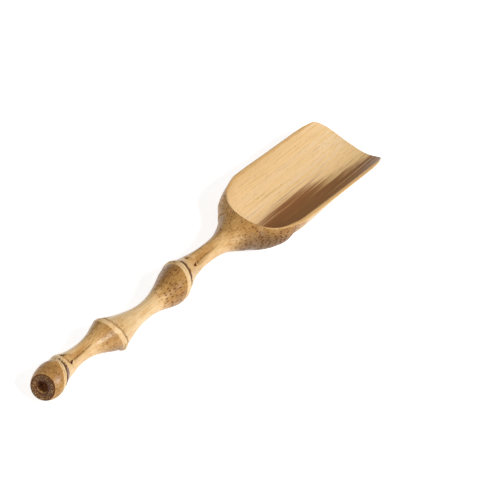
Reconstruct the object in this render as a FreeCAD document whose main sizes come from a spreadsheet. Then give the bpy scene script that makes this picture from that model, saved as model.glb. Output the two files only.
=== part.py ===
import FreeCAD, Part
import Sketcher
import os

# A tea scoop carved from one length of bamboo: a thin knobbly handle of three short
# growth joints, and a last joint that is opened into a half round trough.
# Lengths are millimetres, angles are degrees. +X runs from the butt to the tip,
# +Y is the left hand side, +Z is up. The scoop lies on the plane z = 0, and the
# origin is the middle of its box on that plane.

SIZES = {
    "overall_length": 165.0,
    # the axis of the handle above the table, and its growth joints
    "handle_height": 5.72,
    "butt_length": 6.3,
    "second_length": 25.4,
    "third_length": 31.8,
    # the cut face at the butt
    "face_radius": 3.6,
    "face_lean": 14.7,
    "face_turn": 4.2,
    "barrel_radius": 4.8,
    # the three growth rings: radius at the scar, tilt, and swell just before it
    "ring_one_radius": 4.67,
    "ring_one_lean": 7.7,
    "ring_one_turn": -25.0,
    "ring_one_swell": 4.72,
    "ring_one_band": 0.55,
    "ring_two_radius": 5.38,
    "ring_two_lean": -22.6,
    "ring_two_turn": -1.6,
    "ring_two_swell": 5.55,
    "ring_two_band": 1.0,
    "ring_three_radius": 5.62,
    "ring_three_lean": 10.6,
    "ring_three_turn": -18.0,
    "ring_three_swell": 5.72,
    "ring_three_band": 0.9,
    "scar_width": 0.45,
    "scar_depth": 0.4,
    # the waists between the rings, and how far each one swings to the side
    "waist_two_radius": 2.5,
    "waist_two_swing": 1.2,
    "waist_three_radius": 2.42,
    "waist_three_swing": -0.8,
    "neck_radius": 2.58,
    "neck_swing": 0.75,
    "neck_rise": 0.7,
    # the soft pith in the middle of the handle
    "pith_face_radius": 1.65,
    "pith_floor_radius": 1.5,
    "pith_ring_radius": 1.05,
    "pith_waist_radius": 0.75,
    "pith_recess": 1.6,
    # the opened joint: its mouth is measured inside the walls
    "trough_length": 56.0,
    "mouth_width_back": 23.2,
    "mouth_width_tip": 23.8,
    "depth_back": 9.4,
    "depth_tip": 6.5,
    "rim_height_back": 11.0,
    "rim_height_tip": 8.7,
    "rim_wall": 1.0,
    "floor_back": 1.5,
    "floor_tip": 1.2,
    "tip_corner_radius": 7.0,
    "tip_front_radius": 29.0,
    # the buds that sit past the rings, and the hollow that each one leaves above it
    "bud_length": 3.0,
    "bud_width": 2.7,
    "bud_height": 1.5,
    "bud_one_reach": 4.4,
    "bud_two_reach": 4.0,
    "bud_three_reach": 6.1,
    "furrow_length": 11.0,
    "furrow_width": 2.6,
    "furrow_height": 2.0,
    "furrow_depth": 0.45,
    # how far a cutting shape runs past what it cuts
    "overrun": 6.0,
}

doc = FreeCAD.newDocument("tea_scoop")
sheet = doc.addObject("Spreadsheet::Sheet", "Sizes")
for row, (alias, value) in enumerate(SIZES.items(), start=1):
    sheet.set(f"A{row}", alias)
    sheet.set(f"B{row}", str(value))
    sheet.setAlias(f"B{row}", alias)
doc.recompute()


def size(alias):
    """The name of a size as an expression reads it."""
    return "Sizes." + alias


def total(*terms):
    """A sum of expressions, in brackets."""
    return "(" + " + ".join(str(term) for term in terms) + ")"


def times(*factors):
    """A product of expressions, in brackets."""
    return "(" + " * ".join(str(factor) for factor in factors) + ")"


def between(first, last, share):
    """The value that lies a share of the way from the first to the last."""
    return f"({first} + ({last} - {first}) * {share})"


# Where things lie along the scoop, each worked out from the lengths above.
FACE_ALONG = (f"({size('face_radius')} * sin({size('face_lean')} * 1 deg)"
              f" - {size('overall_length')} / 2)")
RING_ONE_ALONG = total(FACE_ALONG, size("butt_length"))
RING_TWO_ALONG = total(RING_ONE_ALONG, size("second_length"))
RING_THREE_ALONG = total(RING_TWO_ALONG, size("third_length"))
TIP_ALONG = f"({size('overall_length')} / 2)"
BOWL_ALONG = f"({TIP_ALONG} - {size('trough_length')})"


class Ring:
    """A growth ring: a band that stands proud, then a narrow scar cut below it."""

    def __init__(self, name, along):
        self.name = name
        self.along = along
        self.lean = size(name + "_lean")
        self.turn = size(name + "_turn")
        self.radius = size(name + "_radius")
        self.swell = size(name + "_swell")
        self.scar_end = f"({along} + {size('scar_width')} / 2)"
        self.scar_start = f"({along} - {size('scar_width')} / 2)"
        self.start = f"({self.scar_start} - {size(name + '_band')})"


ring_one = Ring("ring_one", RING_ONE_ALONG)
ring_two = Ring("ring_two", RING_TWO_ALONG)
ring_three = Ring("ring_three", RING_THREE_ALONG)

# A section stands across the scoop: its own X is the scoop's Y, its own Y is up.
ACROSS = "placement(vector(0; 0; 0); rotation(90; 0; 90))"


def stand(section, along, side="0", high="0", lean="0", turn="0"):
    """Put a section at its place, leant and turned about its own middle."""
    section.setExpression(
        "Placement",
        f"{ACROSS} * placement(vector({side}; {high}; {along}); rotation(0; {turn}; {lean}))")
    section.Visibility = False
    return section


def round_section(radius, **place):
    """A round section of the given radius."""
    section = doc.addObject("Part::Circle", "round_section")
    section.setExpression("Radius", radius)
    return stand(section, **place)


def oval_section(half_width, half_height, **place):
    """An oval section that lies flat: wider than it is high."""
    section = doc.addObject("Part::Ellipse", "oval_section")
    section.setExpression("MajorRadius", half_width)
    section.setExpression("MinorRadius", half_height)
    return stand(section, **place)


def skin(sections, label=None, ruled=False):
    """A solid whose skin runs through the sections in order."""
    solid = doc.addObject("Part::Loft", "skin")
    solid.Sections = sections
    solid.Solid = True
    solid.Ruled = ruled
    solid.MaxDegree = 3
    if label:
        solid.Label = label
    return solid


def cut(base, tool, label=None):
    """The base without the tool."""
    solid = doc.addObject("Part::Cut", "cut")
    solid.Base = base
    solid.Tool = tool
    if label:
        solid.Label = label
    return solid


def ring_section(ring, along, radius):
    """A circle on a plane parallel to a ring."""
    return round_section(radius, along=along, high=size("handle_height"),
                         lean=ring.lean, turn=ring.turn)


def face_section(radius, inset="0"):
    """A circle on the cut face, or parallel to it and deeper in the wood."""
    return round_section(radius, along=total(FACE_ALONG, inset), high=size("handle_height"),
                         lean=size("face_lean"), turn=size("face_turn"))


# The butt joint: a short barrel between the cut face and the first ring. Each row
# holds the share of its length, of its swell, and of the face's tilt.
BARREL_SHARES = [(0.0, 0.0, 1.0), (0.3, 0.75, 0.9), (0.68, 1.0, 0.4)]


def butt_internode():
    """The barrel at the end of the handle, with the mouth of its pith."""
    sections = []
    for along_share, swell_share, face_share in BARREL_SHARES:
        sections.append(round_section(
            between(size("face_radius"), size("barrel_radius"), swell_share),
            along=between(FACE_ALONG, ring_one.start, along_share),
            high=size("handle_height"),
            lean=between(ring_one.lean, size("face_lean"), face_share),
            turn=between(ring_one.turn, size("face_turn"), face_share)))
    sections.append(ring_section(ring_one, ring_one.start, ring_one.swell))
    bore = skin([face_section(size("pith_face_radius")),
                 face_section(size("pith_floor_radius"), size("pith_recess")),
                 ring_section(ring_one, ring_one.start, size("pith_ring_radius"))],
                ruled=True)
    cut(skin(sections), bore, "butt_internode")
    skin([face_section(size("pith_floor_radius"), size("pith_recess")),
          ring_section(ring_one, ring_one.start, size("pith_ring_radius"))],
         "butt_pith_core", ruled=True)


# The middle joints narrow to a waist and swell to the next ring. Each row holds the
# share of the length, of the way from the waist's radius to the ring's, of the swing
# to the side, and of the tilt of the ring before and of the ring after.
SECOND_SHARES = [(0.0, 0.95, 0.08, 1.0, 0.0), (0.079, 0.75, 0.8, 0.58, 0.0),
                 (0.24, 0.31, 0.92, 0.3, 0.0), (0.415, 0.0, 1.0, 0.05, 0.0),
                 (0.58, 0.05, 0.88, 0.0, 0.15), (0.734, 0.248, 0.67, 0.0, 0.35),
                 (0.884, 0.63, 0.42, 0.0, 0.65), (1.0, 1.0, 0.0, 0.0, 1.0)]
THIRD_SHARES = [(0.0, 0.96, 0.0, 1.0, 0.0), (0.114, 0.547, 0.55, 0.7, 0.05),
                (0.248, 0.213, 0.82, 0.4, 0.1), (0.404, 0.0, 1.0, 0.05, 0.2),
                (0.54, 0.045, 0.98, 0.0, 0.35), (0.655, 0.193, 0.9, 0.0, 0.5),
                (0.824, 0.604, 0.5, 0.0, 0.72), (0.93, 0.95, 0.12, 0.0, 0.93),
                (1.0, 1.0, 0.0, 0.0, 1.0)]
SECOND_WAIST_SHARE = 0.415
THIRD_WAIST_SHARE = 0.404


def joint_skin(before, after, waist, rows):
    """The skin of a growth joint between two rings."""
    sections = []
    for along_share, swell_share, swing_share, before_share, after_share in rows:
        edge = after.swell if after_share > before_share else before.radius
        sections.append(round_section(
            between(size(waist + "_radius"), edge, swell_share),
            along=between(before.scar_end, after.start, along_share),
            side=times(size(waist + "_swing"), swing_share),
            high=size("handle_height"),
            lean=total(times(before.lean, before_share), times(after.lean, after_share)),
            turn=total(times(before.turn, before_share), times(after.turn, after_share))))
    return skin(sections)


def joint_pith(before, after, waist, waist_share, label=None):
    """The pith between two rings: wide at the rings and narrow at the waist."""
    first = ring_section(before, before.scar_end, size("pith_ring_radius"))
    second = round_section(size("pith_waist_radius"),
                           along=between(before.scar_end, after.start, waist_share),
                           side=size(waist + "_swing"), high=size("handle_height"))
    third = ring_section(after, after.start, size("pith_ring_radius"))
    return skin([first, second, third], label, ruled=True)


# Each bud is a low scale. The wood above it is drawn in along a shallow furrow.
def bud_body(along, side, high):
    """The whole swelling of a bud, before the wood that it lies on is taken off."""
    body = doc.addObject("Part::Ellipsoid", "bud_body")
    body.setExpression("Radius1", f"{size('bud_height')} / 2")
    body.setExpression("Radius2", f"{size('bud_length')} / 2")
    body.setExpression("Radius3", f"{size('bud_width')} / 2")
    body.setExpression("Placement", f"placement(vector({along}; {side}; {high}); rotation(0; 0; 0))")
    return body


def furrow_body(bud_along, side, surface_high):
    """The hollow that runs on from a bud towards the tip."""
    body = doc.addObject("Part::Ellipsoid", "furrow_body")
    body.setExpression("Radius1", f"{size('furrow_height')} / 2")
    body.setExpression("Radius2", f"{size('furrow_length')} / 2")
    body.setExpression("Radius3", f"{size('furrow_width')} / 2")
    along = f"({bud_along} + ({size('bud_length')} + {size('furrow_length')}) / 2)"
    high = f"({surface_high} + {size('furrow_height')} / 2 - {size('furrow_depth')})"
    body.setExpression("Placement", f"placement(vector({along}; {side}; {high}); rotation(0; 0; 0))")
    return body


SECOND_BUD_SHARE = 0.4
THIRD_BUD_SHARE = 0.5
NECK_BUD_SHARE = 0.34
BUD_SIDE_SHARE = 0.55
FURROW_SIDE_SHARE = 0.85


def second_internode():
    """The joint between the first and the second ring, with its bud and furrow."""
    bud_along = total(RING_ONE_ALONG, size("bud_one_reach"))
    wood = joint_skin(ring_one, ring_two, "waist_two", SECOND_SHARES)
    wood = cut(wood, joint_pith(ring_one, ring_two, "waist_two", SECOND_WAIST_SHARE))
    furrow = furrow_body(bud_along, times(size("waist_two_swing"), FURROW_SIDE_SHARE),
                         total(size("handle_height"), size("waist_two_radius")))
    wood = cut(wood, furrow, "second_internode")
    joint_pith(ring_one, ring_two, "waist_two", SECOND_WAIST_SHARE, "second_pith_core")
    bud = bud_body(bud_along, times(size("waist_two_swing"), BUD_SIDE_SHARE),
                   total(size("handle_height"),
                         between(size("waist_two_radius"), ring_one.radius, SECOND_BUD_SHARE)))
    cut(bud, wood, "ring_one_bud")


def third_internode():
    """The joint between the second and the third ring; its bud is underneath."""
    wood = joint_skin(ring_two, ring_three, "waist_three", THIRD_SHARES)
    wood = cut(wood, joint_pith(ring_two, ring_three, "waist_three", THIRD_WAIST_SHARE),
               "third_internode")
    joint_pith(ring_two, ring_three, "waist_three", THIRD_WAIST_SHARE, "third_pith_core")
    seat = between(size("waist_three_radius"), ring_two.radius, THIRD_BUD_SHARE)
    bud = bud_body(total(RING_TWO_ALONG, size("bud_two_reach")),
                   times(size("waist_three_swing"), BUD_SIDE_SHARE),
                   f"({size('handle_height')} - {seat})")
    cut(bud, wood, "ring_two_bud")


# The rings: each is a collar with a proud band and a scar, closed by a thin wall.
BAND_EDGE_SHARE = 0.3


def growth_ring(ring):
    """The collar that carries the leaf scar, and the thin wall inside it."""
    floor = f"({ring.radius} - {size('scar_depth')})"
    edge = between(ring.scar_start, ring.scar_end, BAND_EDGE_SHARE)
    wood = skin([ring_section(ring, ring.start, ring.swell),
                 ring_section(ring, ring.scar_start, ring.radius),
                 ring_section(ring, edge, floor),
                 ring_section(ring, ring.scar_end, floor)], ruled=True)
    bore = skin([ring_section(ring, ring.start, size("pith_ring_radius")),
                 ring_section(ring, ring.scar_end, size("pith_ring_radius"))], ruled=True)
    cut(wood, bore, ring.name + "_collar")
    skin([ring_section(ring, ring.start, size("pith_ring_radius")),
          ring_section(ring, ring.scar_end, size("pith_ring_radius"))],
         ring.name + "_diaphragm", ruled=True)


# The last joint: a round neck, then the bowl that flares from it into the trough. Each
# row of the neck holds the share of the length, of the way from the neck's radius to
# the ring's, of the swing, of the rise, and of the ring's tilt. Each row of the flare
# holds the share of the length, the half width as a share of the bowl's, the height
# of the middle and the half height as shares of the rim's height, and of the swing.
NECK_SHARES = [(0.0, 0.95, 0.0, 0.0, 1.0), (0.062, 0.674, 0.6, 0.0, 0.8),
               (0.132, 0.36, 1.2, 0.25, 0.6), (0.242, 0.08, 1.3, 0.62, 0.25),
               (0.355, 0.0, 1.0, 1.0, 0.0)]
NECK_END = (0.524, 0.264, 0.59, 0.278, 0.53)
FLARE_SHARES = [NECK_END, (0.58, 0.34, 0.575, 0.316, 0.25), (0.637, 0.425, 0.555, 0.364, 0.0),
                (0.71, 0.54, 0.53, 0.42, 0.0), (0.772, 0.665, 0.5, 0.46, 0.0),
                (0.847, 0.863, 0.709, 0.673, 0.0), (0.937, 0.988, 0.89, 0.886, 0.0),
                (1.0, 1.01, 1.166, 1.157, 0.0)]
STEP_SHARES = [0.0, 0.33, 0.67]


def smooth_rows(rows):
    """More rows, on a smooth curve through the given ones."""
    fine = []
    for index in range(len(rows) - 1):
        before = rows[max(index - 1, 0)]
        first = rows[index]
        last = rows[index + 1]
        after = rows[min(index + 2, len(rows) - 1)]
        for share in STEP_SHARES:
            row = []
            for past, start, end, coming in zip(before, first, last, after):
                out = (end - past) / 2
                into = (coming - start) / 2
                bend = 2 * (start - end) + out + into
                lift = 3 * (end - start) - 2 * out - into
                row.append(start + share * (out + share * (lift + share * bend)))
            fine.append(row)
    return fine


def arc_radius(half_width, depth):
    """The radius of the arc that spans a mouth and is as deep as asked."""
    return f"(({half_width} * {half_width} + {depth} * {depth}) / (2 * {depth}))"


class Trough:
    """The hollow and the skin at a share of the way from the back to the tip."""

    def __init__(self, share):
        rim = between(size("rim_height_back"), size("rim_height_tip"), share)
        mouth = between(size("mouth_width_back"), size("mouth_width_tip"), share)
        depth = between(size("depth_back"), size("depth_tip"), share)
        floor = between(size("floor_back"), size("floor_tip"), share)
        half = f"({mouth} / 2)"
        outer_half = total(half, size("rim_wall"))
        outer_depth = total(depth, floor)
        self.hollow_radius = arc_radius(half, depth)
        self.hollow_high = f"({rim} - {depth} + {self.hollow_radius})"
        self.skin_radius = arc_radius(outer_half, outer_depth)
        self.skin_high = f"({rim} - {outer_depth} + {self.skin_radius})"
        self.along = between(BOWL_ALONG, total(TIP_ALONG, size("overrun")), share)


OUTER_HALF = f"({size('mouth_width_back')} / 2 + {size('rim_wall')})"
TIP_OUTER_HALF = f"({size('mouth_width_tip')} / 2 + {size('rim_wall')})"


def flare_section(row):
    """An oval across the flare, from a row of its shares."""
    along_share, width_share, high_share, height_share, swing_share = row
    return oval_section(
        times(OUTER_HALF, width_share), times(size("rim_height_back"), height_share),
        along=between(ring_three.scar_end, BOWL_ALONG, along_share),
        side=times(size("neck_swing"), swing_share),
        high=times(size("rim_height_back"), high_share))


def neck_skin():
    """The stem between the last ring and the bowl."""
    sections = []
    for along_share, swell_share, swing_share, rise_share, tilt_share in NECK_SHARES:
        sections.append(round_section(
            between(size("neck_radius"), ring_three.radius, swell_share),
            along=between(ring_three.scar_end, BOWL_ALONG, along_share),
            side=times(size("neck_swing"), swing_share),
            high=total(size("handle_height"), times(size("neck_rise"), rise_share)),
            lean=times(ring_three.lean, tilt_share),
            turn=times(ring_three.turn, tilt_share)))
    sections.append(flare_section(NECK_END))
    return skin(sections)


def flare_skin():
    """The outside of the flare, still round at the top."""
    sections = [flare_section(row) for row in smooth_rows(FLARE_SHARES)]
    sections.append(trough_section(0, "skin"))
    return skin(sections)


def trough_section(share, side_name):
    """The round that the skin or the hollow of the trough follows at one place."""
    place = Trough(share)
    radius = place.skin_radius if side_name == "skin" else place.hollow_radius
    high = place.skin_high if side_name == "skin" else place.hollow_high
    return round_section(radius, along=place.along, high=high)


def trough_pipe(side_name):
    """A straight run of the skin or of the hollow, from the back to past the tip."""
    return skin([trough_section(0, side_name), trough_section(1, side_name)], ruled=True)


def gouge_ball():
    """The round back end of the hollow."""
    back = Trough(0)
    ball = doc.addObject("Part::Sphere", "gouge_ball")
    ball.setExpression("Radius", back.hollow_radius)
    ball.setExpression("Placement",
                       f"placement(vector({back.along}; 0; {back.hollow_high}); rotation(0; 0; 0))")
    return ball


def number(expression):
    """The value that an expression has now, as a plain number."""
    value = sheet.evalExpression(expression)
    return float(getattr(value, "Value", value))


def outline_sketch(body, plane, corners, arc_radii):
    """A closed outline through the corners; an edge with a radius is an arc.

    The corners are pairs of expressions. arc_radii holds, for the edge that starts at
    a corner, the radius of its arc and the side on which the arc bulges.
    """
    sketch = body.newObject("Sketcher::SketchObject", "outline")
    support = [part for part in body.Origin.OriginFeatures if part.Role == plane][0]
    sketch.AttachmentSupport = [(support, "")]
    sketch.MapMode = "FlatFace"
    points = [FreeCAD.Vector(number(first), number(second), 0) for first, second in corners]
    count = len(points)
    for index, start in enumerate(points):
        end = points[(index + 1) % count]
        if index in arc_radii:
            chord = end - start
            middle = (start + end) / 2
            square = FreeCAD.Vector(chord.y, -chord.x, 0) / chord.Length
            radius = number(arc_radii[index])
            rise = radius - (radius ** 2 - (chord.Length / 2) ** 2) ** 0.5
            sketch.addGeometry(Part.Arc(start, middle + square * rise, end), False)
        else:
            sketch.addGeometry(Part.LineSegment(start, end), False)
    for index, (first, second) in enumerate(corners):
        corner = (index, 1)
        if index in arc_radii:
            # an arc always runs anticlockwise, so its ends may be swapped
            arc = sketch.Geometry[index]
            swapped = arc.StartPoint.distanceToPoint(points[index]) > 1e-6
            corner = (index, 2 if swapped else 1)
            radius = sketch.addConstraint(Sketcher.Constraint("Radius", index, arc.Radius))
            sketch.renameConstraint(radius, f"arc_{index}")
            sketch.setExpression(f"Constraints.arc_{index}", arc_radii[index])
        far = sketch.addConstraint(
            Sketcher.Constraint("DistanceX", -1, 1, *corner, points[index].x))
        sketch.renameConstraint(far, f"first_{index}")
        sketch.setExpression(f"Constraints.first_{index}", first)
        away = sketch.addConstraint(
            Sketcher.Constraint("DistanceY", -1, 1, *corner, points[index].y))
        sketch.renameConstraint(away, f"second_{index}")
        sketch.setExpression(f"Constraints.second_{index}", second)
    for index in range(count):
        after = (index + 1) % count
        ends = []
        for edge, wanted in ((index, points[after]), (after, points[after])):
            curve = sketch.Geometry[edge]
            near_start = curve.StartPoint.distanceToPoint(wanted) < 1e-6
            ends.append((edge, 1 if near_start else 2))
        sketch.addConstraint(Sketcher.Constraint("Coincident", *ends[0], *ends[1]))
    return sketch


def cutter(name, plane, corners, arc_radii, width):
    """A flat sided block drawn as an outline and padded both ways from its plane."""
    body = doc.addObject("PartDesign::Body", name)
    sketch = outline_sketch(body, plane, corners, arc_radii)
    pad = body.newObject("PartDesign::Pad", name + "_pad")
    pad.Profile = sketch
    pad.Midplane = True
    pad.setExpression("Length", width)
    body.Visibility = False
    return body


RIM_BEND_SHARE = 0.04


def rim_cutter():
    """All that stands above the rim, which falls gently towards the tip."""
    over = size("overrun")
    rim_back = size("rim_height_back")
    slope = f"(({size('rim_height_tip')} - {rim_back}) / {size('trough_length')})"
    high = f"({rim_back} * 4)"
    back = f"({BOWL_ALONG} - {size('mouth_width_back')})"
    bend = between(BOWL_ALONG, TIP_ALONG, RIM_BEND_SHARE)
    front = f"({TIP_ALONG} + 2 * {over})"
    front_rim = f"({rim_back} + {slope} * ({size('trough_length')} + 2 * {over}))"
    corners = [(back, rim_back), (bend, rim_back), (front, front_rim),
               (front, high), (back, high)]
    return cutter("rim_cutter", "XZ_Plane", corners, {}, f"{TIP_OUTER_HALF} * 4")


def tip_cutter():
    """All that stands in front of the rounded tip."""
    over = size("overrun")
    front_radius = size("tip_front_radius")
    corner_radius = size("tip_corner_radius")
    centre_side = f"({TIP_OUTER_HALF} - {corner_radius})"
    gap = f"({front_radius} - {corner_radius})"
    run = f"sqrt({gap} * {gap} - {centre_side} * {centre_side})"
    corner_along = f"({TIP_ALONG} - {front_radius} + {run})"
    meet_along = f"({TIP_ALONG} - {front_radius} + {front_radius} * {run} / {gap})"
    meet_side = f"({front_radius} * {centre_side} / {gap})"
    wide = f"({TIP_OUTER_HALF} + {over})"
    front = f"({TIP_ALONG} + 3 * {over})"
    corners = [(corner_along, f"-{TIP_OUTER_HALF}"), (meet_along, f"-{meet_side}"),
               (meet_along, meet_side), (corner_along, TIP_OUTER_HALF),
               (corner_along, wide), (front, wide), (front, f"-{wide}"),
               (corner_along, f"-{wide}")]
    arcs = {0: corner_radius, 1: front_radius, 2: corner_radius}
    return cutter("tip_cutter", "XY_Plane", corners, arcs, f"{size('rim_height_back')} * 8")


def scoop_neck():
    """The neck, with its bud and the furrow that runs on from it."""
    bud_along = total(RING_THREE_ALONG, size("bud_three_reach"))
    neck_high = total(size("handle_height"), size("neck_rise"))
    furrow = furrow_body(bud_along, times(size("neck_swing"), FURROW_SIDE_SHARE),
                         total(neck_high, size("neck_radius")))
    wood = cut(neck_skin(), furrow, "scoop_neck")
    bud = bud_body(bud_along, times(size("neck_swing"), BUD_SIDE_SHARE),
                   total(size("handle_height"),
                         between(size("neck_radius"), ring_three.radius, NECK_BUD_SHARE)))
    cut(bud, wood, "ring_three_bud")


def scoop_bowl():
    """The bowl: a flared heel with a round end, and the open run with its rounded tip."""
    heel = cut(cut(flare_skin(), rim_cutter()), gouge_ball())
    run = cut(trough_pipe("skin"), trough_pipe("hollow"))
    run = cut(cut(run, rim_cutter()), tip_cutter())
    bowl = doc.addObject("Part::Fuse", "bowl")
    bowl.Base = heel
    bowl.Tool = run
    bowl.Label = "scoop_bowl"


butt_internode()
second_internode()
third_internode()
for ring in (ring_one, ring_two, ring_three):
    growth_ring(ring)
scoop_neck()
scoop_bowl()
doc.recompute()

PIECES = [
    "butt_internode", "butt_pith_core",
    "ring_one_collar", "ring_one_diaphragm", "ring_one_bud",
    "second_internode", "second_pith_core",
    "ring_two_collar", "ring_two_diaphragm", "ring_two_bud",
    "third_internode", "third_pith_core",
    "ring_three_collar", "ring_three_diaphragm", "ring_three_bud",
    "scoop_neck", "scoop_bowl",
]

for obj in doc.Objects:
    if "Invalid" in obj.State or "Error" in obj.State:
        raise RuntimeError(f"{obj.Label} was not made: {obj.State}")
pieces = {obj.Label: obj for obj in doc.Objects if obj.Label in PIECES}
for label in PIECES:
    shape = pieces[label].Shape
    if shape.isNull() or not shape.isValid() or len(shape.Solids) != 1:
        raise RuntimeError(f"{label} is not one good solid")
    print(label, round(shape.Volume, 2), len(shape.Faces))

os.makedirs("parts", exist_ok=True)
for label in PIECES:
    pieces[label].Shape.exportStep(f"parts/{label}.step")
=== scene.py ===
# %% [markdown]
# # A bamboo tea scoop, grown and then carved
#
# The real object is one length of bamboo. Three short growth joints make the knobbly
# handle, and the last joint is cut open into a trough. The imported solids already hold
# the sizes, so this lesson works around them: it keeps their frame, and lays finer
# surfaces over them that show the skin, the rings, the pith and the carved hollow.

# %% Load the frame
import bmesh
import bpy
import numpy as np
from mathutils import Matrix


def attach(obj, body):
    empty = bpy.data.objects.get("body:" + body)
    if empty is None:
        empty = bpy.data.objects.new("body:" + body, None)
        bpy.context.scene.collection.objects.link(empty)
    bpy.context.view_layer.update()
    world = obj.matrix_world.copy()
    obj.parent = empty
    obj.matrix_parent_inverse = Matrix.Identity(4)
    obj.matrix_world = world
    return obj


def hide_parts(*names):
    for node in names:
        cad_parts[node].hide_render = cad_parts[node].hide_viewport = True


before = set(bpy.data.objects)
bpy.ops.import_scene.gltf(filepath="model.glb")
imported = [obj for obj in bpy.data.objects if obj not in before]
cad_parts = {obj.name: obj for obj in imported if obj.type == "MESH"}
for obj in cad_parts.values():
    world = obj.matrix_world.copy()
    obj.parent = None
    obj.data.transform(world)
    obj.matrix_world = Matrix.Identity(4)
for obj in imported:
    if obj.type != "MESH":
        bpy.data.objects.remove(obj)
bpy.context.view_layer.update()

print("pieces in the frame:", len(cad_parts))

# %% [markdown]
# ## The camera
#
# A camera can be placed by eye, but a thin object seen along its length forgives
# little. A separate program solved this one from the outline in the photograph: where
# it stands and its three directions, with a long lens that hardly shows perspective.

# %% Camera
MM = 0.001
CAMERA_PLACE = np.array([-514.83, -207.39, 440.98]) * MM
CAMERA_RIGHT = np.array([0.52374, -0.81217, 0.25704])
CAMERA_UP = np.array([0.42505, 0.51064, 0.74738])
LENS = 180.0
SENSOR = 36.0
SHIFT_UP = 0.0026


def add_object(name, data):
    """Make an object of some data and link it into the scene."""
    made = bpy.data.objects.new(name, data)
    bpy.context.scene.collection.objects.link(made)
    return made


def stand(thing, right, up, back, place):
    """Place an object by the directions of its own three axes."""
    turn = np.eye(4)
    turn[:3] = np.stack([right, up, back, place], 1)
    thing.matrix_world = Matrix(turn.tolist())


camera_data = bpy.data.cameras.new("camera")
camera_data.lens = LENS
camera_data.sensor_width = SENSOR
camera_data.shift_y = SHIFT_UP
camera = add_object("camera", camera_data)
stand(camera, CAMERA_RIGHT, CAMERA_UP, np.cross(CAMERA_RIGHT, CAMERA_UP), CAMERA_PLACE)
bpy.context.scene.camera = camera
print("camera stands", np.round(np.linalg.norm(CAMERA_PLACE), 3), "m from the scoop")

# %% [markdown]
# ## Helpers for surfaces
#
# The surfaces below are grids: rows run along the scoop, and each row is a loop or an
# arc round it. A smooth curve through a few stations gives the size of each row. The
# grid could be made point by point, but whole arrays are quicker and shorter.
#
# The station tables are a weak spot. Many of their numbers came out of a separate
# program that fitted circles and ovals to the outline in the photograph, and the rest
# lie between those. It would be better to work them out from the sizes of the solids,
# which they don't follow as they stand.

# %% Smooth curves through stations
def smooth(stations, values, at):
    """A smooth curve through values at the stations, read at many places.

    The slope at each station is that of the line between its two neighbours, and a
    cubic joins one station to the next.
    """
    x = np.asarray(stations, float)
    y = np.asarray(values, float)
    slope = np.gradient(y, x)
    index = np.clip(np.searchsorted(x, at) - 1, 0, len(x) - 2)
    width = x[index + 1] - x[index]
    t = np.clip((at - x[index]) / width, 0, 1)
    rise = y[index + 1] - y[index]
    out = slope[index] * width
    into = slope[index + 1] * width
    return y[index] + t * (out + t * (3 * rise - 2 * out - into + t * (out + into - 2 * rise)))


def ease(low, high, at):
    """0 below low, 1 above high, and an S-shaped rise between."""
    t = np.clip((at - low) / (high - low), 0, 1)
    return t * t * (3 - 2 * t)


def bump(centre, half_width, at):
    """A round hill of height 1: a bell curve about its centre."""
    return np.exp(-((at - centre) / half_width) ** 2)


def tilted(lean, turn_angle):
    """The sideways, upward and forward directions of a plane leant, then turned.

    Leaning is a turn about the scoop's own left hand side, and turning is about the
    vertical, both in degrees.
    """
    p, q = np.radians(lean), np.radians(turn_angle)
    side = np.stack([-np.sin(q), np.cos(q), 0 * p], -1)
    high = np.stack([np.sin(p) * np.cos(q), np.sin(p) * np.sin(q), np.cos(p)], -1)
    ahead = np.stack([np.cos(p) * np.cos(q), np.cos(p) * np.sin(q), -np.sin(p)], -1)
    return side, high, ahead


WAVE_COUNT = 24
rng = np.random.default_rng(11)
WAVES = rng.normal(size=(WAVE_COUNT, 3))
WAVE_PHASES = rng.uniform(0, 2 * np.pi, WAVE_COUNT)


def ripple(points, size, stretch=1.0):
    """A smooth random height in about -1 to 1: a sum of sine waves.

    The waves run in all directions and are about as long as the size, in millimetres.
    Stretch makes them longer along the scoop.
    """
    scale = np.array([1 / stretch, 1, 1]) / size
    phase = (points * scale) @ (WAVES * 2).T + WAVE_PHASES
    return np.sin(phase).sum(-1) / 5


print("ripple at the origin:", np.round(ripple(np.zeros(3), 1.0), 3))

# %% From a grid to a mesh
MERGE_WITHIN = 1e-7


def grid_faces(rows, around, closed_rows=False):
    """Four-cornered faces between neighbouring rows, each row a closed loop."""
    index = np.arange(rows * around).reshape(rows, around)
    first = index if closed_rows else index[:-1]
    after = np.roll(index, -1, 0) if closed_rows else index[1:]
    corners = [first, np.roll(first, -1, 1), np.roll(after, -1, 1), after]
    return np.stack(corners, -1).reshape(-1, 4)


def into_frame(name, points, faces, layers, node_names):
    """Make a piece of points in millimetres, with a number per point in each layer."""
    mesh = bpy.data.meshes.new(name)
    mesh.from_pydata((points * MM).tolist(), [], faces)
    for layer, values in layers.items():
        numbers = values.astype(np.float32)
        mesh.attributes.new(layer, "FLOAT", "POINT").data.foreach_set("value", numbers)
    piece = add_object(name, mesh)
    mend(piece)
    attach(piece, "root")
    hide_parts(*node_names)
    print(name, len(mesh.polygons), "faces")


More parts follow.
